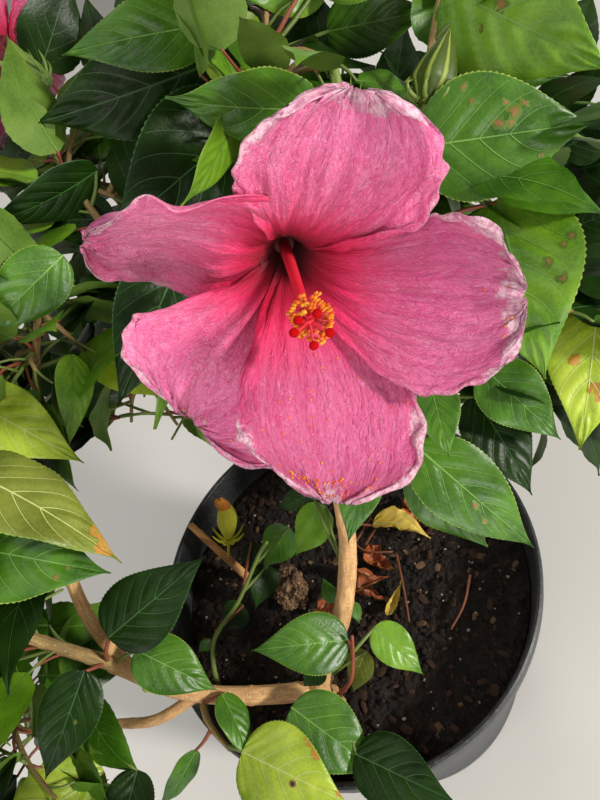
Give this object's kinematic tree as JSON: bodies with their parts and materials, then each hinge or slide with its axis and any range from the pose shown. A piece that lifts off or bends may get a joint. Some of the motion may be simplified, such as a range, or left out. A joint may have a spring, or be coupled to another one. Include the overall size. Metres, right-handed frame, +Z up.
{
  "type": "potted hibiscus shrub",
  "caption": "Leafy hibiscus shrub with pink five-petalled blooms, growing from a short forked trunk in a round black nursery pot of bark mix.",
  "frame": {"origin": "middle of the pot's flat underside, on the ground", "axes": "+Z up; the front bloom looks towards -Y, and the longer low limb runs towards -X"},
  "size_m": [0.5739, 0.5462, 0.6063],
  "materials": {
    "pot": "black moulded plastic, dusty and scuffed",
    "potting_mix": "damp dark bark mix with pale specks",
    "bark": "tan bark, fine lengthwise cracks and pores",
    "dry_wood": "dry orange-tan wood",
    "leaf": "glossy green leaves with paler veins",
    "petal": "pink, crinkled, deep red at the throat",
    "column": "red with yellow and orange anthers",
    "calyx": "pale green, faintly ribbed"
  },
  "bodies": {
    "root": {"pot": "pot", "soil": "potting_mix", "trunk": "bark", "bough_main": "bark", "bough_left": "bark", "bough_left_low": "bark", "bough_front": "bark", "bough_back_left": "bark", "bough_back": "bark", "bough_back_up": "bark", "bough_back_right": "bark", "bough_right": "bark", "bough_right_low": "bark", "dry_shoot": "dry_wood", "foliage_top": "leaf", "foliage_right_top": "leaf", "foliage_right_low": "leaf", "foliage_left": "leaf", "foliage_left_low": "leaf", "foliage_front": "leaf", "foliage_limb": "leaf", "foliage_foot": "leaf", "foliage_back_left": "leaf", "foliage_back_up": "leaf", "foliage_back": "leaf", "foliage_back_right": "leaf", "bloom_front_corolla": "petal", "bloom_front_column": "column", "bloom_front_calyx": "calyx", "bloom_back_corolla": "petal", "bloom_back_column": "column", "bloom_back_calyx": "calyx", "bloom_right_corolla": "petal", "bloom_right_column": "column", "bloom_right_calyx": "calyx"}
  },
  "joints": []
}
